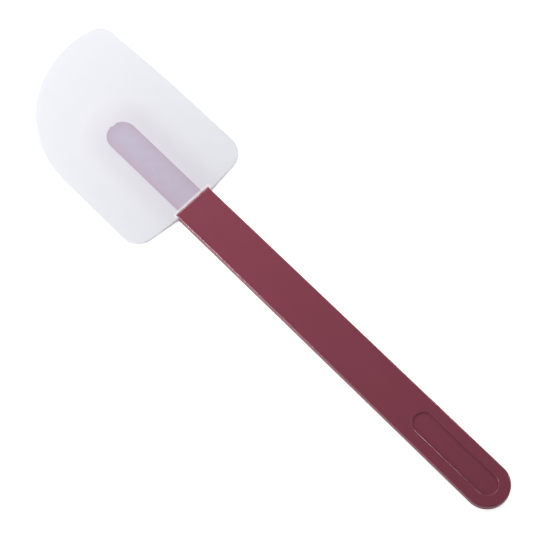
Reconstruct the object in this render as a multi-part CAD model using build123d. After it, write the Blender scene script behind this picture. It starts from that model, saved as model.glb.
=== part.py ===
from build123d import *
import math
import os

# A two-piece baking scraper: a plastic handle with a flat tongue, and a silicone blade that slips onto it.
# Millimetres. It lies on its back face, on Z = 0, with +Z out of its front face.
# +X runs from the handle's round end to the blade's tip, and +Y is the side of the blade's wide sweep.
# The origin is the middle of the footprint. Shapes are drawn from the handle's shoulder, then moved there.

# Handle bar
handle_length = 187.9
handle_thickness = 4.0
shoulder_width = 19.1
end_width = 20.2
handle_edge_radius = 0.6

# Shallow stadium recess in the front face, centred on the handle's round end
recess_length = 46.7
recess_width = 9.8
recess_depth = 0.45
recess_edge_radius = 0.3

# Tongue, with a rim all round and a sunk panel in each face
tongue_length = 50.2
tongue_width = 14.0
tongue_thickness = 2.0
tongue_edge_radius = 0.2
rim_width = 2.6
panel_depth = 0.35
vent_width = 1.4

# Blade outline
blade_reach = 92.1
blade_width = 66.2
skirt_length = 1.85
base_rise = 2.3
base_corner_radius = 9.5
sweep_radius = 46.2
bow_start = 14.0
bow_radius = 1050.0
tip_corner_radius = 8.4

# Blade thickness: a spine over the tongue, flush with the handle, falls away in a hollow flank to the thin web
spine_flat_width = 12.0
flank_run = 18.0
crest_share = 0.18
web_thickness = 1.6
blade_edge_radius = 0.6

# Clearance of the tongue in its pocket and of the shoulder in its notch, on each side
fit_gap = 0.05

# How far a cut runs past the surface that it opens
overrun = 1.0

# The share of straight up at which an edge or a wall counts as upright
upright_share = 0.5

# What follows is worked out from the sizes above
mid_z = handle_thickness / 2
origin_x = (handle_length - blade_reach) / 2
end_centre_x = end_width / 2 - handle_length
tongue_centre_x = tongue_length - tongue_width / 2
notch_half_width = shoulder_width / 2 + fit_gap
base_slope = base_rise / (blade_width / 2 - notch_half_width)
base_peak_x = -skirt_length - base_slope * notch_half_width


def prism(face, bottom, height):
    """Extrude a flat outline upwards from a level."""
    return extrude(Pos(0, 0, bottom) * face, height, dir=(0, 0, 1))


def level_edges(faces):
    """The edges of these faces that don't run up and down."""
    edges = ShapeList(edge for face in faces for edge in face.edges())
    return edges.filter_by(lambda edge: abs(edge.tangent_at().Z) < upright_share)


def finger(width, centre_x):
    """A straight outline from the shoulder to a round end about a centre."""
    half = width / 2
    outline = Line((0, -half), (centre_x, -half))
    outline += ThreePointArc((centre_x, -half), (centre_x + half, 0), (centre_x, half))
    outline += Polyline((centre_x, half), (0, half), (0, -half))
    return make_face(outline)


def bar_outline():
    """The handle's outline: a square shoulder, sides that widen a little, and a round end."""
    shoulder = shoulder_width / 2
    radius = end_width / 2
    span = math.hypot(end_centre_x, shoulder)
    lean = math.atan2(shoulder, -end_centre_x) + math.acos(radius / span)
    touch_x = end_centre_x + radius * math.cos(lean)
    touch_y = radius * math.sin(lean)
    outline = Polyline((touch_x, -touch_y), (0, -shoulder), (0, shoulder), (touch_x, touch_y))
    outline += ThreePointArc((touch_x, touch_y), (-handle_length, 0), (touch_x, -touch_y))
    return make_face(outline)


def bar():
    """The flat bar with its edges rounded and the recess sunk in its front face."""
    solid = prism(bar_outline(), 0, handle_thickness)
    solid = fillet(solid.edges(), handle_edge_radius)
    recess_centre_x = end_centre_x + (recess_length - recess_width) / 2
    recess = Pos(recess_centre_x, 0) * SlotOverall(recess_length, recess_width)
    solid -= prism(recess, handle_thickness - recess_depth, recess_depth + overrun)
    front = solid.faces().sort_by(Axis.Z)[-1]
    mouth = front.inner_wires()[0].edges()
    return fillet(mouth, recess_edge_radius)


def tongue():
    """The tongue: a thin finger with a rim, a sunk panel in both faces and a vent gap at the tip."""
    bottom = mid_z - tongue_thickness / 2
    top = mid_z + tongue_thickness / 2
    solid = prism(finger(tongue_width, tongue_centre_x), bottom, tongue_thickness)
    faces = solid.faces().sort_by(Axis.Z)
    rims = level_edges([faces[0], faces[-1]])
    rims = rims.filter_by(lambda edge: edge.center().X > handle_edge_radius)
    solid = fillet(rims, tongue_edge_radius)
    panel = finger(tongue_width - 2 * rim_width, tongue_centre_x)
    vent_length = tongue_length + overrun - tongue_centre_x
    vent = Pos(tongue_centre_x + vent_length / 2, 0) * Rectangle(vent_length, vent_width)
    for level in (bottom - overrun, top - panel_depth):
        solid -= prism(panel, level, panel_depth + overrun)
        solid -= prism(vent, level, panel_depth + overrun)
    return solid


def handle():
    """The whole handle moulding."""
    return Pos(origin_x, 0, 0) * (bar() + tongue())


def circles_meet(first, first_radius, second, second_radius):
    """The point, on the -Y side, where two circles cross."""
    gap = second - first
    along = (gap.length**2 + first_radius**2 - second_radius**2) / (2 * gap.length)
    across = math.sqrt(first_radius**2 - along**2)
    unit = gap.normalized()
    return first + unit * along + Vector(unit.Y, -unit.X) * across


def blade_outline():
    """The blade's outline: two like base corners, a wide quarter sweep and a small tip corner."""
    half = blade_width / 2
    base_x = base_rise - skirt_length
    sweep_start = Vector(blade_reach - sweep_radius, half)
    sweep_centre = sweep_start - Vector(0, sweep_radius)
    bow_centre = Vector(bow_start, bow_radius - half)
    tip = circles_meet(sweep_centre, sweep_radius, bow_centre, bow_radius)
    bow_middle_x = (bow_start + tip.X) / 2
    bow_rise = bow_radius - math.sqrt(bow_radius**2 - (bow_middle_x - bow_start) ** 2)
    base_line = Polyline((bow_start, -half), (base_x, -half), (base_peak_x, 0), (base_x, half), sweep_start)
    sweep = ThreePointArc(sweep_start, (blade_reach, sweep_centre.Y), tip)
    bow = ThreePointArc(tip, (bow_middle_x, bow_rise - half), (bow_start, -half))
    face = make_face(base_line + sweep + bow)
    corners = face.vertices().sort_by(Axis.X)
    base_corners = corners.filter_by(lambda corner: abs(corner.Y) > notch_half_width)[:2]
    face = fillet(base_corners, base_corner_radius)
    tip_corner = face.vertices().sort_by_distance(tip)[0]
    return fillet(tip_corner, tip_corner_radius)


def half_section(reach):
    """Half of the section across the blade, on XZ: flat spine, rounded crest, hollow flank and thin web."""
    top = handle_thickness / 2
    low = web_thickness / 2
    crest_x = spine_flat_width / 2
    foot_x = crest_x + flank_run
    turn = 2 * math.atan2(top - low, flank_run)
    crest_radius = crest_share * flank_run / math.sin(turn)
    flank_radius = (1 - crest_share) * flank_run / math.sin(turn)
    bend_x = crest_x + crest_radius * math.sin(turn)
    bend_z = top - crest_radius * (1 - math.cos(turn))
    crest_x_halfway = crest_x + crest_radius * math.sin(turn / 2)
    crest_z_halfway = top - crest_radius * (1 - math.cos(turn / 2))
    flank_x_halfway = foot_x - flank_radius * math.sin(turn / 2)
    flank_z_halfway = low + flank_radius * (1 - math.cos(turn / 2))
    upper = Line((0, top), (crest_x, top))
    upper += ThreePointArc((crest_x, top), (crest_x_halfway, crest_z_halfway), (bend_x, bend_z))
    upper += ThreePointArc((bend_x, bend_z), (flank_x_halfway, flank_z_halfway), (foot_x, low))
    upper += Line((foot_x, low), (reach, low))
    lower = mirror(upper, about=Plane.XZ)
    ends = Line((0, top), (0, -top)) + Line((reach, low), (reach, -low))
    return Plane.XZ * make_face(upper + lower + ends)


def thickness_form():
    """The blade's front and back surfaces: the section run along the tongue and turned about its tip."""
    reach = math.hypot(blade_reach, blade_width)
    section = half_section(reach)
    turned = revolve(section, Axis.Z, 180)
    run = extrude(section, reach, dir=(0, 1, 0))
    run += mirror(run, about=Plane.YZ)
    form = Rot(0, 0, -90) * turned + Rot(0, 0, 90) * run
    return Pos(tongue_centre_x, 0, mid_z) * form


def blade():
    """The whole blade moulding."""
    solid = prism(blade_outline(), 0, handle_thickness)
    solid = solid & thickness_form()
    notch_start = base_peak_x - overrun
    notch_length = fit_gap - notch_start
    notch = Pos(notch_start + notch_length / 2, 0) * Rectangle(notch_length, 2 * notch_half_width)
    solid -= prism(notch, -overrun, handle_thickness + 2 * overrun)
    walls = solid.faces().filter_by(lambda face: abs(face.normal_at().Z) < upright_share)
    walls = walls.filter_by(lambda face: abs(face.center().Y) > notch_half_width or face.center().X > fit_gap)
    solid = fillet(level_edges(walls), blade_edge_radius)
    pocket_height = tongue_thickness + 2 * fit_gap
    pocket = finger(tongue_width + 2 * fit_gap, tongue_centre_x)
    solid -= prism(pocket, mid_z - pocket_height / 2, pocket_height)
    return Pos(origin_x, 0, 0) * solid


os.makedirs("parts", exist_ok=True)
export_step(handle(), "parts/handle.step")
export_step(blade(), "parts/blade.step")
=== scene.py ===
import math

import bmesh
import bpy
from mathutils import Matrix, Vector
from mathutils.geometry import delaunay_2d_cdt
from mathutils.kdtree import KDTree


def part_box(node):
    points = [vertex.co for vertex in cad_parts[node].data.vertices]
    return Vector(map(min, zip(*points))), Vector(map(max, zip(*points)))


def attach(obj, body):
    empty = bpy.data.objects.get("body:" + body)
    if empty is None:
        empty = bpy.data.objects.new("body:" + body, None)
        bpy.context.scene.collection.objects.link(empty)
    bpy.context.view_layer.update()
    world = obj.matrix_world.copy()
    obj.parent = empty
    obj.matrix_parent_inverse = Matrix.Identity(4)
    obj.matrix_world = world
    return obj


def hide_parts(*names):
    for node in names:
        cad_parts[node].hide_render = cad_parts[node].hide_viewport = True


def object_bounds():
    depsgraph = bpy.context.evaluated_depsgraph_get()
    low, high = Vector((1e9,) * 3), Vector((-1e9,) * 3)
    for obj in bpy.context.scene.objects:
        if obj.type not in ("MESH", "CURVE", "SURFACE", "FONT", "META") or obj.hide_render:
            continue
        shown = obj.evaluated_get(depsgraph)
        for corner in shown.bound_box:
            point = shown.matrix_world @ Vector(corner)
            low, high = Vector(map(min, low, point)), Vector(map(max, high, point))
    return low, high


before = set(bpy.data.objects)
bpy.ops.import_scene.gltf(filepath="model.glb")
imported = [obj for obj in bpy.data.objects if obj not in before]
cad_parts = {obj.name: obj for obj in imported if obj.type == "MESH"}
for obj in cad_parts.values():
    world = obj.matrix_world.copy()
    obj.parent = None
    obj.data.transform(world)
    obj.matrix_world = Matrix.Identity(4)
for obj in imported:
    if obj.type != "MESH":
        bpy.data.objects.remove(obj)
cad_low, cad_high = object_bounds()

# Handle
# The real handle is one moulding in hard, glossy, wine red plastic: a flat bar with soft edges, a shallow
# stadium recess near its round end, and the thin tongue that the blade is pushed onto. The tongue has a rim
# all round, a sunk panel in both faces and a gap in the rim at its tip, and runs out of the square shoulder.
handle_low, handle_high = (Vector(corner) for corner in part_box("handle"))
shoulder_width = 0.0191
end_width = handle_high.y - handle_low.y
bar_edge_radius = 0.0006
recess_length = 0.0467
recess_width = 0.0098
recess_depth = 0.00045
recess_mouth_radius = 0.0003
recess_floor_radius = 0.0001
tongue_length = 0.0502
tongue_width = 0.014
tongue_thickness = 0.002
tongue_edge_radius = 0.0002
tongue_root = 0.0036
rim_width = 0.0026
panel_depth = 0.00035
panel_edge_radius = 0.0001
vent_width = 0.0014
overrun = 0.001
station = 0.005
edge_steps = 6
round_step = math.radians(3.0)
merge_distance = 1e-7
sharp_angle = math.radians(35.0)

mid_z = (handle_low.z + handle_high.z) / 2
shoulder_x = handle_high.x - tongue_length
end_centre_x = handle_low.x + end_width / 2
tongue_centre_x = handle_high.x - tongue_width / 2


def arc_points(centre, radius, start, stop):
    """Points along an arc, with both of its ends."""
    steps = math.ceil((stop - start) / round_step)
    turns = (start + (stop - start) * step / steps for step in range(steps + 1))
    return [centre + Vector((math.cos(turn), math.sin(turn))) * radius for turn in turns]


def line_points(first, last, count):
    """Evenly spaced points between two others, which are left out."""
    return [first.lerp(last, step / count) for step in range(1, count)]


def bar_line(inset):
    """The bar's outline: rounded shoulder corners, sides that widen a little, and a round end."""
    half = shoulder_width / 2
    run = shoulder_x - end_centre_x
    lean = math.atan2(half, run) + math.acos(end_width / 2 / math.hypot(run, half))
    corner = Vector((shoulder_x - bar_edge_radius, half - bar_edge_radius))
    far_corner = arc_points(corner, bar_edge_radius - inset, 0, lean)
    round_end = arc_points(Vector((end_centre_x, 0)), end_width / 2 - inset, lean, 2 * math.pi - lean)
    near_corner = arc_points(Vector((corner.x, -corner.y)), bar_edge_radius - inset, -lean, 0)
    count = round(run / station)
    points = far_corner + line_points(far_corner[-1], round_end[0], count) + round_end
    return points + line_points(round_end[-1], near_corner[0], count) + near_corner


def recess_line(inset):
    """The recess's outline: a stadium about the same centre as the bar's round end."""
    radius = recess_width / 2 - inset
    run = recess_length - recess_width
    far_arc = arc_points(Vector((end_centre_x + run, 0)), radius, -math.pi / 2, math.pi / 2)
    near_arc = arc_points(Vector((end_centre_x, 0)), radius, math.pi / 2, 3 * math.pi / 2)
    count = round(run / station)
    points = far_arc + line_points(far_arc[-1], near_arc[0], count) + near_arc
    return points + line_points(near_arc[-1], far_arc[0], count)


def finger_line(inset, width=tongue_width, root_x=shoulder_x - tongue_root):
    """The outline of the tongue or of its pocket: a straight finger with a round tip."""
    half = width / 2 - inset
    tip = arc_points(Vector((tongue_centre_x, 0)), half, -math.pi / 2, math.pi / 2)
    far_root = Vector((root_x + inset, half))
    near_root = Vector((root_x + inset, -half))
    count = round((tongue_centre_x - root_x) / station)
    points = tip + line_points(tip[-1], far_root, count)
    points += [far_root] + line_points(far_root, near_root, count) + [near_root]
    return points + line_points(near_root, tip[0], count)


def rounding(radius):
    """A rounded edge, from its wall to its face, as steps in from the wall and down from the face."""
    turns = (math.pi / 2 * step / edge_steps for step in range(edge_steps + 1))
    return [(radius * (1 - math.cos(turn)), radius * (1 - math.sin(turn))) for turn in turns]


def add_rings(shape, outline, profile):
    """Draw an outline at each inset and height of a profile, and join each ring to the next with quads."""
    rings = []
    for inset, height in profile:
        rings.append([shape.verts.new((point.x, point.y, height)) for point in outline(inset)])
    for lower, upper in zip(rings, rings[1:]):
        for index in range(len(lower)):
            shape.faces.new((lower[index - 1], lower[index], upper[index], upper[index - 1]))
    return rings


def finish_shape(shape, name):
    """Merge a closed shape's doubled points, turn its faces outwards, and make it an object."""
    bmesh.ops.remove_doubles(shape, verts=shape.verts, dist=merge_distance)
    bmesh.ops.recalc_face_normals(shape, faces=shape.faces)
    mesh = bpy.data.meshes.new(name)
    shape.to_mesh(mesh)
    shape.free()
    thing = bpy.data.objects.new(name, mesh)
    bpy.context.scene.collection.objects.link(thing)
    return thing


def settle(thing):
    """Turn an object's modifiers into its plain mesh."""
    depsgraph = bpy.context.evaluated_depsgraph_get()
    mesh = bpy.data.meshes.new_from_object(thing.evaluated_get(depsgraph))
    thing.modifiers.clear()
    thing.data = mesh


def work_on(thing, tool, operation):
    """Join a tool shape to a thing, or cut it out of the thing."""
    modifier = thing.modifiers.new(operation, "BOOLEAN")
    modifier.operation = operation
    modifier.solver = "EXACT"
    modifier.material_mode = "TRANSFER"
    modifier.object = tool
    settle(thing)
    bpy.data.objects.remove(tool)


def shade(thing):
    """Smooth the rounded edges and keep the flat faces flat."""
    thing.data.shade_smooth()
    thing.data.set_sharp_from_angle(angle=sharp_angle)
    modifier = thing.modifiers.new("shading", "WEIGHTED_NORMAL")
    modifier.keep_sharp = True
    settle(thing)


def bar():
    """The bar with its edges rounded and the recess sunk in its front face."""
    shape = bmesh.new()
    edge = rounding(bar_edge_radius)
    profile = [(inset, handle_low.z + drop) for inset, drop in reversed(edge)]
    profile += [(inset, handle_high.z - drop) for inset, drop in edge]
    rings = add_rings(shape, bar_line, profile)
    shape.faces.new(rings[0])
    floor_z = handle_high.z - recess_depth
    profile = [(-inset, handle_high.z - drop) for inset, drop in reversed(rounding(recess_mouth_radius))]
    profile += [(inset, floor_z + drop) for inset, drop in rounding(recess_floor_radius)]
    recess_rings = add_rings(shape, recess_line, profile)
    shape.faces.new(recess_rings[-1])
    bmesh.ops.remove_doubles(shape, verts=shape.verts, dist=merge_distance)
    borders = [edge for edge in shape.edges if edge.is_boundary]
    bmesh.ops.triangle_fill(shape, edges=borders, use_beauty=True)
    return finish_shape(shape, "moulded_handle")


def tongue():
    """The tongue with its rim rounded and a panel sunk in both faces."""
    shape = bmesh.new()
    low_z = mid_z - tongue_thickness / 2
    profile = [(rim_width, low_z + panel_depth)]
    profile += [(rim_width - inset, low_z + drop) for inset, drop in rounding(panel_edge_radius)]
    profile += [(inset, low_z + drop) for inset, drop in reversed(rounding(tongue_edge_radius))]
    profile += [(inset, 2 * mid_z - height) for inset, height in reversed(profile)]
    rings = add_rings(shape, finger_line, profile)
    shape.faces.new(rings[0])
    shape.faces.new(rings[-1])
    return finish_shape(shape, "tongue")


def box_shape(name, low, high):
    """A plain box between two corners, for cutting with."""
    shape = bmesh.new()
    bmesh.ops.create_cube(shape, size=1.0)
    size = high - low
    middle = (low + high) / 2
    for corner in shape.verts:
        corner.co = Vector((corner.co.x * size.x, corner.co.y * size.y, corner.co.z * size.z)) + middle
    return finish_shape(shape, name)


moulded_handle = bar()
work_on(moulded_handle, tongue(), "UNION")
for side in (-1, 1):
    panel_z = mid_z + side * (tongue_thickness / 2 - panel_depth)
    outside_z = mid_z + side * (tongue_thickness / 2 + overrun)
    vent_low = Vector((tongue_centre_x, -vent_width / 2, min(panel_z, outside_z)))
    vent_high = Vector((handle_high.x + overrun, vent_width / 2, max(panel_z, outside_z)))
    work_on(moulded_handle, box_shape("vent", vent_low, vent_high), "DIFFERENCE")
shade(moulded_handle)


def add_node(tree, kind, inputs=(), **options):
    """Add a node, set its options, and give its inputs values or links from other nodes."""
    node = tree.nodes.new(kind)
    for name, value in options.items():
        setattr(node, name, value)
    for name, value in dict(inputs).items():
        if isinstance(value, bpy.types.NodeSocket):
            tree.links.new(value, node.inputs[name])
        else:
            node.inputs[name].default_value = value
    return node


def new_material(name):
    """A material with an empty node tree, and that tree."""
    material = bpy.data.materials.new(name)
    material.use_nodes = True
    material.node_tree.nodes.clear()
    return material, material.node_tree


def mix_colours(tree, factor, first, second):
    """A colour between two others."""
    mix = add_node(tree, "ShaderNodeMix", {"Factor": factor}, data_type="RGBA")
    for name, colour in (("A", first), ("B", second)):
        if isinstance(colour, bpy.types.NodeSocket):
            tree.links.new(colour, mix.inputs[name])
        else:
            mix.inputs[name].default_value = colour
    return mix.outputs["Result"]


wine_red = (0.252, 0.057, 0.087, 1.0)
wine_red_dark = (0.230, 0.051, 0.079, 1.0)
flow_stretch = 0.25
flow_scale = 160.0
smudge_scale = 70.0
gloss_low = 0.14
gloss_high = 0.24
ripple_scale = 900.0
ripple_strength = 0.12
ripple_height = 0.00004
plastic_ior = 1.5

plastic, tree = new_material("wine_red_plastic")
where = add_node(tree, "ShaderNodeTexCoord")
along = add_node(tree, "ShaderNodeMapping",
                 {"Vector": where.outputs["Object"], "Scale": (flow_stretch, 1.0, 1.0)})
flow = add_node(tree, "ShaderNodeTexNoise",
                {"Vector": along.outputs["Vector"], "Scale": flow_scale, "Detail": 3.0})
colour = mix_colours(tree, flow.outputs["Fac"], wine_red_dark, wine_red)
smudge = add_node(tree, "ShaderNodeTexNoise",
                  {"Vector": where.outputs["Object"], "Scale": smudge_scale, "Detail": 4.0})
gloss = add_node(tree, "ShaderNodeMapRange",
                 {"Value": smudge.outputs["Fac"], "To Min": gloss_low, "To Max": gloss_high})
ripple = add_node(tree, "ShaderNodeTexNoise",
                  {"Vector": where.outputs["Object"], "Scale": ripple_scale, "Detail": 1.0})
skin = add_node(tree, "ShaderNodeBump",
                {"Height": ripple.outputs["Fac"], "Strength": ripple_strength, "Distance": ripple_height})
shader = add_node(tree, "ShaderNodeBsdfPrincipled",
                  {"Base Color": colour, "Roughness": gloss.outputs["Result"],
                   "IOR": plastic_ior, "Normal": skin.outputs["Normal"]})
add_node(tree, "ShaderNodeOutputMaterial", {"Surface": shader.outputs["BSDF"]})
moulded_handle.data.materials.clear()
moulded_handle.data.materials.append(plastic)
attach(moulded_handle, "handle")
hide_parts("handle")

# Blade
# The real blade is one moulding in soft, milky silicone, stretched over the tongue. Its spine is as thick as
# the handle and holds the blind pocket, and a hollow flank falls away to the thin web. It has one wide swept
# corner and one small one at its tip, and a short skirt seats round the handle's shoulder.
blade_low, blade_high = (Vector(corner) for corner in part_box("blade"))
blade_half = (blade_high.y - blade_low.y) / 2
base_rise = 0.0023
skirt_length = 0.00185
base_corner_radius = 0.0095
sweep_radius = 0.0462
bow_start = 0.014
bow_radius = 1.05
tip_corner_radius = 0.0084
spine_half_width = 0.006
flank_run = 0.018
crest_share = 0.18
spine_half_thickness = (blade_high.z - blade_low.z) / 2
web_half_thickness = 0.0008
blade_edge_radius = 0.0006
fit_gap = 0.00005
guard_width = 0.0003
guard_share = 0.55
mesh_pitch = 0.0013

notch_half_width = shoulder_width / 2 + fit_gap
base_slope = base_rise / (blade_half - notch_half_width)
base_peak_x = shoulder_x - skirt_length - base_slope * notch_half_width
bow_start_x = shoulder_x + bow_start
flank_turn = 2 * math.atan2(spine_half_thickness - web_half_thickness, flank_run)
crest_run = crest_share * flank_run
crest_radius = crest_run / math.sin(flank_turn)
flank_radius = (flank_run - crest_run) / math.sin(flank_turn)


def circles_meet(first, first_radius, second, second_radius):
    """The point, on the -Y side, where two circles cross."""
    gap = second - first
    along = (gap.length ** 2 + first_radius ** 2 - second_radius ** 2) / (2 * gap.length)
    across = math.sqrt(first_radius ** 2 - along ** 2)
    unit = gap.normalized()
    return first + unit * along + Vector((unit.y, -unit.x)) * across


def blade_line(inset):
    """The blade's outline: two like base corners, a slight bow, a small tip corner and a wide sweep."""
    base_lean = math.atan(base_slope)
    corner_y = blade_half - base_corner_radius
    corner_x = base_peak_x + base_slope * corner_y + base_corner_radius / math.cos(base_lean)
    bow_centre = Vector((bow_start_x, bow_radius - blade_half))
    sweep_centre = Vector((blade_high.x - sweep_radius, blade_half - sweep_radius))
    tip_centre = circles_meet(sweep_centre, sweep_radius - tip_corner_radius,
                              bow_centre, bow_radius - tip_corner_radius)
    bow_end = math.atan2(tip_centre.y - bow_centre.y, tip_centre.x - bow_centre.x)
    sweep_start = math.atan2(tip_centre.y - sweep_centre.y, tip_centre.x - sweep_centre.x)
    quarter = math.pi / 2
    base_turn = math.pi - base_lean
    stretches = [
        arc_points(Vector((corner_x, -corner_y)), base_corner_radius - inset, -base_turn, -quarter),
        arc_points(bow_centre, bow_radius - inset, -quarter, bow_end),
        arc_points(tip_centre, tip_corner_radius - inset, bow_end, sweep_start),
        arc_points(sweep_centre, sweep_radius - inset, sweep_start, quarter),
        arc_points(Vector((corner_x, corner_y)), base_corner_radius - inset, quarter, base_turn),
        [Vector((base_peak_x + inset / math.cos(base_lean), 0))],
    ]
    points = []
    for stretch, next_stretch in zip(stretches, stretches[1:] + stretches[:1]):
        points += stretch
        gap = (next_stretch[0] - stretch[-1]).length
        if gap > mesh_pitch:
            points += line_points(stretch[-1], next_stretch[0], math.ceil(gap / mesh_pitch))
    return points


def flank_points():
    """Points on lines that run round the tongue's line, so that the mesh follows the blade's thickness."""
    points = []
    run = tongue_centre_x - base_peak_x
    for ring in range(math.ceil(blade_half * 2 / mesh_pitch)):
        radius = ring * mesh_pitch
        for step in range(math.ceil(run / mesh_pitch) + 1):
            x = tongue_centre_x - step * mesh_pitch
            points += [Vector((x, radius)), Vector((x, -radius))]
        steps = max(1, round(math.pi * radius / mesh_pitch))
        for step in range(1, steps):
            turn = math.pi * (step / steps - 0.5)
            points.append(Vector((tongue_centre_x + radius * math.cos(turn), radius * math.sin(turn))))
    return points


def slab():
    """A flat slab on the blade's outline, as thick as the spine, with rings where its edge will be rounded.
    Each point keeps its turn, from 0 on the wall to 1 on the face."""
    shape = bmesh.new()
    turn_layer = shape.verts.layers.float.new("turn")
    steps = [(inset, 1 - drop / blade_edge_radius) for inset, drop in rounding(blade_edge_radius)]
    steps.append((blade_edge_radius + guard_width, 1.0))
    profile = [(inset, blade_low.z) for inset, turn in reversed(steps)]
    profile += [(inset, blade_high.z) for inset, turn in steps]
    turns = [turn for inset, turn in reversed(steps)] + [turn for inset, turn in steps]
    for ring, turn in zip(add_rings(shape, blade_line, profile), turns):
        for corner in ring:
            corner[turn_layer] = turn
    border = blade_line(blade_edge_radius + guard_width)
    near = KDTree(len(border))
    for index, point in enumerate(border):
        near.insert(point.to_3d(), index)
    near.balance()
    inner = [point for point in flank_points() if near.find(point.to_3d())[2] > mesh_pitch * guard_share]
    flat = delaunay_2d_cdt(border + inner, [], [list(range(len(border)))], 1, merge_distance)
    for height in (blade_low.z, blade_high.z):
        corners = [shape.verts.new((point.x, point.y, height)) for point in flat[0]]
        for corner in corners:
            corner[turn_layer] = 1.0
        for face in flat[2]:
            shape.faces.new([corners[index] for index in face])
        loose = [corner for corner in corners if not corner.link_faces]
        bmesh.ops.delete(shape, geom=loose, context="VERTS")
    return finish_shape(shape, "silicone_blade")


def add_socket(tree, kind, name):
    """Add an input to a geometry node tree."""
    return tree.interface.new_socket(name, in_out="INPUT", socket_type=kind)


def do_sum(tree, operation, *values):
    """One step of arithmetic on numbers or nodes' outputs."""
    return add_node(tree, "ShaderNodeMath", dict(enumerate(values)), operation=operation).outputs["Value"]


def circle_height(tree, radius, offset):
    """How high a circle's edge stands above its centre's level, at an offset from the centre."""
    radius_square = do_sum(tree, "POWER", radius, 2.0)
    offset_square = do_sum(tree, "POWER", offset, 2.0)
    return do_sum(tree, "SQRT", do_sum(tree, "SUBTRACT", radius_square, offset_square))


def tongue_distance(tree, position, tip_x):
    """How far a point lies, seen from above, from the tongue's line."""
    axes = add_node(tree, "ShaderNodeSeparateXYZ", {"Vector": position})
    past_tip = do_sum(tree, "MAXIMUM", do_sum(tree, "SUBTRACT", axes.outputs["X"], tip_x), 0.0)
    flat = add_node(tree, "ShaderNodeCombineXYZ", {"X": past_tip, "Y": axes.outputs["Y"]})
    length = add_node(tree, "ShaderNodeVectorMath", {0: flat.outputs["Vector"]}, operation="LENGTH")
    return axes, length.outputs["Value"]


def thin_out(blade, material):
    """Thin the slab by the blade's rule: a flat spine, a rounded crest, a hollow flank and the thin web."""
    tree = bpy.data.node_groups.new("blade_thickness", "GeometryNodeTree")
    tree.interface.new_socket("Geometry", in_out="OUTPUT", socket_type="NodeSocketGeometry")
    add_socket(tree, "NodeSocketGeometry", "Geometry")
    sizes = {
        "Tongue Tip X": tongue_centre_x,
        "Middle Height": mid_z,
        "Spine Half Width": spine_half_width,
        "Spine Half Thickness": spine_half_thickness,
        "Crest Run": crest_run,
        "Crest Radius": crest_radius,
        "Flank Run": flank_run,
        "Flank Radius": flank_radius,
        "Web Half Thickness": web_half_thickness,
        "Edge Radius": blade_edge_radius,
    }
    sockets = {name: add_socket(tree, "NodeSocketFloat", name) for name in sizes}
    silicone_socket = add_socket(tree, "NodeSocketMaterial", "Silicone")
    size = add_node(tree, "NodeGroupInput").outputs
    place = add_node(tree, "GeometryNodeInputPosition").outputs["Position"]
    axes, distance = tongue_distance(tree, place, size["Tongue Tip X"])

    off_spine = do_sum(tree, "SUBTRACT", distance, size["Spine Half Width"])
    on_crest = do_sum(tree, "MINIMUM", do_sum(tree, "MAXIMUM", off_spine, 0.0), size["Crest Run"])
    crest_height = circle_height(tree, size["Crest Radius"], on_crest)
    crest_drop = do_sum(tree, "SUBTRACT", size["Crest Radius"], crest_height)
    hollow_run = do_sum(tree, "SUBTRACT", size["Flank Run"], size["Crest Run"])
    to_web = do_sum(tree, "MAXIMUM", do_sum(tree, "SUBTRACT", size["Flank Run"], off_spine), 0.0)
    on_flank = do_sum(tree, "MINIMUM", to_web, hollow_run)
    flank_drop = do_sum(tree, "SUBTRACT", circle_height(tree, size["Flank Radius"], on_flank),
                        circle_height(tree, size["Flank Radius"], hollow_run))
    drop = do_sum(tree, "ADD", crest_drop, flank_drop)
    half_thickness = do_sum(tree, "SUBTRACT", size["Spine Half Thickness"], drop)

    turn = add_node(tree, "GeometryNodeInputNamedAttribute", {"Name": "turn"}).outputs["Attribute"]
    edge_drop = do_sum(tree, "MULTIPLY", size["Edge Radius"], do_sum(tree, "SUBTRACT", 1.0, turn))
    half_height = do_sum(tree, "SUBTRACT", half_thickness, edge_drop)
    side = do_sum(tree, "SIGN", do_sum(tree, "SUBTRACT", axes.outputs["Z"], size["Middle Height"]))
    height = do_sum(tree, "ADD", size["Middle Height"], do_sum(tree, "MULTIPLY", side, half_height))
    moved = add_node(tree, "ShaderNodeCombineXYZ",
                     {"X": axes.outputs["X"], "Y": axes.outputs["Y"], "Z": height})
    thinned = add_node(tree, "GeometryNodeSetPosition",
                       {"Geometry": size["Geometry"], "Position": moved.outputs["Vector"]})
    real = add_node(tree, "GeometryNodeRealizeInstances", {"Geometry": thinned.outputs["Geometry"]})
    filled = add_node(tree, "GeometryNodeSetMaterial",
                      {"Geometry": real.outputs["Geometry"], "Material": size["Silicone"]})
    add_node(tree, "NodeGroupOutput", {"Geometry": filled.outputs["Geometry"]})

    modifier = blade.modifiers.new("thickness", "NODES")
    modifier.node_group = tree
    for name, value in sizes.items():
        modifier[sockets[name].identifier] = value
    modifier[silicone_socket.identifier] = material
    settle(blade)


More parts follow.
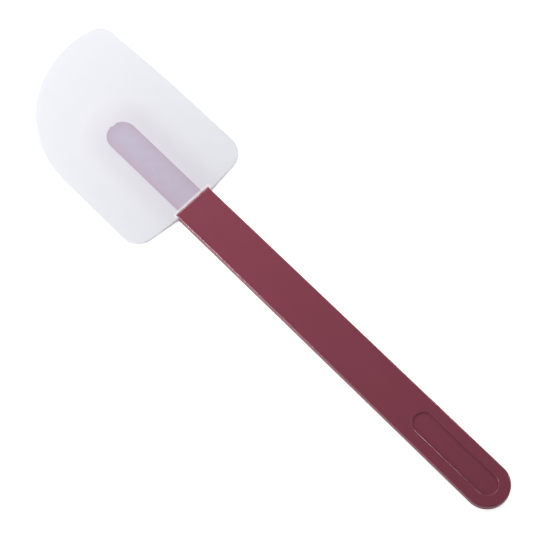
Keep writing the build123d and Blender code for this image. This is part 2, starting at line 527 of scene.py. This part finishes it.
haze_per_metre = 4500.0
core_haze_share = 0.36
cloud_amount = 0.03
cloud_scale = 260.0
cloud_low = 0.3
cloud_high = 0.7
soft_outline = 0.0006
tongue_look_start = 1.5
tongue_look_end = 0.5
vent_dent = 0.0004
tongue_wall_reach = 0.0003
tongue_wall_shift = 0.0007
lip_width = 0.0015
lip_haze = 0.0003
panel_share_outside = 0.4
panel_haze_share = 0.3
wall_levelness = 0.6
behind_share = 0.12
grain_scale = 1500.0
grain_strength = 0.15
grain_height = 0.00004
silicone_roughness = 0.45
silicone_ior = 1.41
milk = (0.82, 0.825, 0.87, 1.0)
# The milk colours after the first hold painted light: shade near the tongue, bounce and reflection over it,
# the lip's highlight and the walls' glow.
milk_shaded_near_tongue = (0.75, 0.73, 0.785, 1.0)
milk_rim_seen_and_bounced = (0.79, 0.68, 0.83, 1.0)
milk_panel_seen_and_reflected = (0.69, 0.68, 0.82, 1.0)
milk_lip_highlight = (1.0, 0.89, 0.94, 1.0)
milk_wall_painted_glow = (0.95, 0.94, 0.97, 1.0)
clear_tint = (1.0, 0.99, 0.98, 1.0)


def blend_in(tree, value, low, high, out_low, out_high):
    """A smooth change from one value to another as a number goes from low to high."""
    inputs = {"Value": value, "From Min": low, "From Max": high, "To Min": out_low, "To Max": out_high}
    return add_node(tree, "ShaderNodeMapRange", inputs, interpolation_type="SMOOTHSTEP").outputs["Result"]


def silicone(name, is_pocket):
    """Milky silicone: haze that grows with its thickness, lit from in front and through from behind."""
    material, tree = new_material(name)
    where = add_node(tree, "ShaderNodeTexCoord").outputs
    place = where["Object"]
    axes, distance = tongue_distance(tree, place, tongue_centre_x)
    aside = do_sum(tree, "ABSOLUTE", axes.outputs["Y"])
    pocket_half = tongue_width / 2 + fit_gap
    panel_half = tongue_width / 2 - rim_width

    # The tongue's masks are drawn in the handle's own space, so they stay with it when the blade comes off.
    within = add_node(tree, "ShaderNodeTexCoord")
    within.object = moulded_handle
    tongue_axes, from_tongue = tongue_distance(tree, within.outputs["Object"], tongue_centre_x)
    off_middle = do_sum(tree, "ABSOLUTE", tongue_axes.outputs["Y"])
    shift = {"Vector": within.outputs["Object"], "Location": (0.0, -tongue_wall_shift, 0.0)}
    seen = add_node(tree, "ShaderNodeMapping", shift).outputs["Vector"]
    seen_distance = tongue_distance(tree, seen, tongue_centre_x - tongue_wall_reach)[1]
    vent_start = tongue_centre_x + soft_outline
    past_centre = blend_in(tree, tongue_axes.outputs["X"], tongue_centre_x, vent_start, 0.0, 1.0)
    along_vent = blend_in(tree, off_middle, vent_width / 2, vent_width / 2 + soft_outline, 1.0, 0.0)
    over_vent = do_sum(tree, "MULTIPLY", past_centre, along_vent)
    outline = do_sum(tree, "MULTIPLY_ADD", over_vent, vent_dent, seen_distance)
    wall_foot = pocket_half + tongue_wall_reach
    over_tongue = blend_in(tree, outline, wall_foot - soft_outline, wall_foot, 1.0, 0.0)
    in_panel = blend_in(tree, from_tongue, panel_half - soft_outline, panel_half + soft_outline, 1.0, 0.0)
    over_panel = do_sum(tree, "MAXIMUM", in_panel, over_vent)
    # Painted over the tongue: its colour as it shows through the milk, with painted bounce light off it,
    # pink over the rim. Over the sunk panel it turns paler and bluer, a painted reflection off the air gap.
    tongue_look_low = wall_foot - tongue_look_start * soft_outline
    tongue_look_high = wall_foot + tongue_look_end * soft_outline
    tongue_seen_and_bounced = blend_in(tree, outline, tongue_look_low, tongue_look_high, 1.0, 0.0)

    full = blend_in(tree, distance, spine_half_width, spine_half_width + flank_run,
                    spine_half_thickness, web_half_thickness)
    over_core = core_haze_share * (spine_half_thickness - tongue_thickness / 2 - fit_gap) / 2
    thinning = do_sum(tree, "MULTIPLY", over_tongue, do_sum(tree, "SUBTRACT", full, over_core))
    cloud = add_node(tree, "ShaderNodeTexNoise", {"Vector": place, "Scale": cloud_scale, "Detail": 3.0})
    cloudy = blend_in(tree, cloud.outputs["Fac"], cloud_low, cloud_high, 1 - cloud_amount, 1 + cloud_amount)
    # Painted highlight: a bright pinkish band along the lip at the handle's shoulder, made opaque by extra
    # haze so that it shows.
    near_shoulder = blend_in(tree, axes.outputs["X"], shoulder_x, shoulder_x + lip_width, 1.0, 0.0)
    near_notch = blend_in(tree, aside, notch_half_width, notch_half_width + lip_width, 1.0, 0.0)
    painted_lip_highlight = do_sum(tree, "MULTIPLY", near_shoulder, near_notch)
    depth = do_sum(tree, "MULTIPLY", do_sum(tree, "SUBTRACT", full, thinning), cloudy)
    depth = do_sum(tree, "MULTIPLY_ADD", painted_lip_highlight, lip_haze, depth)
    passed = do_sum(tree, "EXPONENT", do_sum(tree, "MULTIPLY", depth, -haze_per_metre))
    if is_pocket:
        held_back = do_sum(tree, "MULTIPLY", over_panel, panel_haze_share)
        passed = do_sum(tree, "MULTIPLY", passed, do_sum(tree, "SUBTRACT", 1.0, held_back))

    # Painted shade: the milk darkens towards the tongue, standing in for the tongue's shadow and the dimmer,
    # thicker silicone.
    painted_shade_near_tongue = blend_in(tree, distance, pocket_half, spine_half_width + flank_run, 1.0, 0.0)
    # Painted glow: the steep walls are coloured lighter than the faces, standing in for light scattered
    # through the silicone.
    facing = add_node(tree, "ShaderNodeSeparateXYZ", {"Vector": where["Normal"]})
    levelness = do_sum(tree, "ABSOLUTE", facing.outputs["Z"])
    painted_wall_glow = blend_in(tree, levelness, 0.0, wall_levelness, 1.0, 0.0)
    panel_share = do_sum(tree, "MULTIPLY", over_panel, 1.0 if is_pocket else panel_share_outside)
    tongue_look = mix_colours(tree, panel_share, milk_rim_seen_and_bounced, milk_panel_seen_and_reflected)
    body = mix_colours(tree, painted_shade_near_tongue, milk, milk_shaded_near_tongue)
    body = mix_colours(tree, tongue_seen_and_bounced, body, tongue_look)
    body = mix_colours(tree, painted_lip_highlight, body, milk_lip_highlight)
    body = mix_colours(tree, painted_wall_glow, body, milk_wall_painted_glow)

    grain = add_node(tree, "ShaderNodeTexNoise", {"Vector": place, "Scale": grain_scale, "Detail": 2.0})
    skin = add_node(tree, "ShaderNodeBump",
                    {"Height": grain.outputs["Fac"], "Strength": grain_strength, "Distance": grain_height})
    front = add_node(tree, "ShaderNodeBsdfPrincipled",
                     {"Base Color": body, "Roughness": silicone_roughness, "IOR": silicone_ior,
                      "Normal": skin.outputs["Normal"]})
    behind = add_node(tree, "ShaderNodeBsdfTranslucent", {"Color": body})
    lit = add_node(tree, "ShaderNodeMixShader",
                   {"Fac": behind_share, 1: front.outputs["BSDF"], 2: behind.outputs["BSDF"]})
    clear = add_node(tree, "ShaderNodeBsdfTransparent", {"Color": clear_tint})
    whole = add_node(tree, "ShaderNodeMixShader",
                     {"Fac": passed, 1: lit.outputs["Shader"], 2: clear.outputs["BSDF"]})
    add_node(tree, "ShaderNodeOutputMaterial", {"Surface": whole.outputs["Shader"]})
    return material


milky_silicone = silicone("milky_silicone", False)
pocket_silicone = silicone("pocket_silicone", True)
silicone_blade = slab()
thin_out(silicone_blade, milky_silicone)
notch_low = Vector((base_peak_x - overrun, -notch_half_width, blade_low.z - overrun))
notch_high = Vector((shoulder_x + fit_gap, notch_half_width, blade_high.z + overrun))
work_on(silicone_blade, box_shape("notch", notch_low, notch_high), "DIFFERENCE")


def pocket():
    """The shape of the pocket: the tongue's outline and thickness, with the fit's clearance all round."""
    shape = bmesh.new()
    width = tongue_width + 2 * fit_gap
    root_x = shoulder_x - overrun
    half_height = tongue_thickness / 2 + fit_gap
    profile = [(0, mid_z - half_height), (0, mid_z + half_height)]
    rings = add_rings(shape, lambda inset: finger_line(inset, width, root_x), profile)
    shape.faces.new(rings[0])
    shape.faces.new(rings[-1])
    return finish_shape(shape, "pocket")


pocket_tool = pocket()
pocket_tool.data.materials.append(pocket_silicone)
work_on(silicone_blade, pocket_tool, "DIFFERENCE")
shade(silicone_blade)
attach(silicone_blade, "blade")
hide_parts("blade")

# Table
# The object lies on a plain white table. To the camera it glows a little, so that it comes out as white as
# the picture's ground, and it still takes the object's shadow.
table_reach = 3.0
table_drop = 0.00005
table_white = (0.9, 0.9, 0.9, 1.0)
table_roughness = 0.9
table_glow = 0.72
table_gloss_share = 0.2
glow_white = (1.0, 1.0, 1.0, 1.0)


def backdrop_share(tree, gloss_share):
    """1 for what the camera or a clear surface sees, less for a gloss, and 0 for light on the object."""
    path = add_node(tree, "ShaderNodeLightPath").outputs
    gloss = do_sum(tree, "MULTIPLY", path["Is Glossy Ray"], gloss_share)
    seen = do_sum(tree, "MAXIMUM", path["Is Camera Ray"], gloss)
    return do_sum(tree, "MAXIMUM", seen, path["Is Transmission Ray"])


table_shape = bmesh.new()
bmesh.ops.create_grid(table_shape, x_segments=1, y_segments=1, size=table_reach)
for corner in table_shape.verts:
    corner.co.z = cad_low[2] - table_drop
table = finish_shape(table_shape, "table")
white_table, tree = new_material("white_table")
glow = do_sum(tree, "MULTIPLY", backdrop_share(tree, table_gloss_share), table_glow)
shader = add_node(tree, "ShaderNodeBsdfPrincipled",
                  {"Base Color": table_white, "Roughness": table_roughness, "Specular IOR Level": 0.0,
                   "Emission Color": glow_white, "Emission Strength": glow})
add_node(tree, "ShaderNodeOutputMaterial", {"Surface": shader.outputs["BSDF"]})
table.data.materials.append(white_table)

# Room
# The room round the table is white near the horizon, for the camera and for glosses, and dim overhead, so
# that the handle's flat face keeps its deep colour. Its light on the object is a weak fill, with a low glow
# from the handle's end that reaches the blade's base walls.
room_overhead = 0.1
room_white = 1.0
room_light_share = 0.2
room_side_glow = 3.0
white_up_to = 0.1
dim_from = 0.6
side_glow_up_to = 0.3

room = bpy.data.worlds.new("room")
bpy.context.scene.world = room
room.use_nodes = True
tree = room.node_tree
tree.nodes.clear()
direction = add_node(tree, "ShaderNodeTexCoord").outputs["Generated"]
way = add_node(tree, "ShaderNodeSeparateXYZ", {"Vector": direction}).outputs
brightness = blend_in(tree, way["Z"], white_up_to, dim_from, room_white, room_overhead)
low_down = blend_in(tree, way["Z"], white_up_to, side_glow_up_to, 1.0, 0.0)
in_front = blend_in(tree, way["X"], -1.0, 0.0, room_side_glow, 0.0)
front_glow = do_sum(tree, "MULTIPLY", low_down, in_front)
light = do_sum(tree, "MULTIPLY_ADD", brightness, room_light_share, front_glow)
is_seen = backdrop_share(tree, 1.0)
unseen = do_sum(tree, "MULTIPLY", light, do_sum(tree, "SUBTRACT", 1.0, is_seen))
strength = do_sum(tree, "MULTIPLY_ADD", brightness, is_seen, unseen)
background = add_node(tree, "ShaderNodeBackground", {"Color": glow_white, "Strength": strength})
add_node(tree, "ShaderNodeOutputWorld", {"Surface": background.outputs["Background"]})

# Lamps
# Small softboxes stand round the blade, on each side and past its tip, so that their light falls off along
# the handle. They draw the bright lines on its left edge and shoulder. Three more stand where the recess's
# rounded edge mirrors them: its long side, the cap nearest the blade, and the cap at the handle's end.


def softbox(name, place, aim, width, height, radiance):
    """A rectangular lamp that faces a point, as bright all over as its radiance says."""
    light = bpy.data.lights.new(name, "AREA")
    light.shape = "RECTANGLE"
    light.size = width
    light.size_y = height
    light.energy = radiance * math.pi * width * height
    lamp = bpy.data.objects.new(name, light)
    lamp.location = place
    lamp.rotation_euler = (Vector(aim) - Vector(place)).to_track_quat("-Z", "Y").to_euler()
    lamp.visible_camera = False
    bpy.context.scene.collection.objects.link(lamp)


softbox("left_softbox", (0.125, 0.30, 0.14), (0.055, 0.0, 0.0), 0.05, 0.20, 22.0)
softbox("middle_softbox", (0.065, 0.30, 0.14), (0.0, 0.0, 0.0), 0.06, 0.20, 6.0)
softbox("right_softbox", (0.12, -0.20, 0.20), (0.08, 0.0, 0.0), 0.12, 0.08, 2.5)
softbox("tip_softbox", (0.395, -0.113, 0.264), (shoulder_x, 0.0, 0.0), 0.04, 0.25, 37.0)
softbox("recess_softbox", (-0.011, -0.37, 0.136), (-0.117, 0.0, 0.0), 0.07, 0.13, 20.0)
softbox("cap_softbox", (-0.202, -0.328, 0.24), (-0.097, 0.0, 0.0), 0.03, 0.06, 55.0)
softbox("end_softbox", (0.342, 0.174, 0.347), (end_centre_x, 0.0, 0.0), 0.04, 0.06, 40.0)

# Camera
# It looks down at the front face from beyond the handle, at the picture's angle, through a long lens.
camera_azimuth = math.radians(225.78)
camera_elevation = math.radians(68.865)
camera_distance = 1.2844
camera_target = Vector((0.00193, -0.00231, 0.002))
camera_lens = 200.0
camera_sensor = 36.0

back = Vector((math.sin(camera_azimuth) * math.cos(camera_elevation),
               -math.cos(camera_azimuth) * math.cos(camera_elevation),
               math.sin(camera_elevation)))
camera_data = bpy.data.cameras.new("camera")
camera_data.lens = camera_lens
camera_data.sensor_width = camera_sensor
camera = bpy.data.objects.new("camera", camera_data)
camera.location = camera_target + back * camera_distance
camera.rotation_euler = (-back).to_track_quat("-Z", "Y").to_euler()
bpy.context.scene.collection.objects.link(camera)
bpy.context.scene.camera = camera
bpy.context.scene.view_settings.view_transform = "Standard"
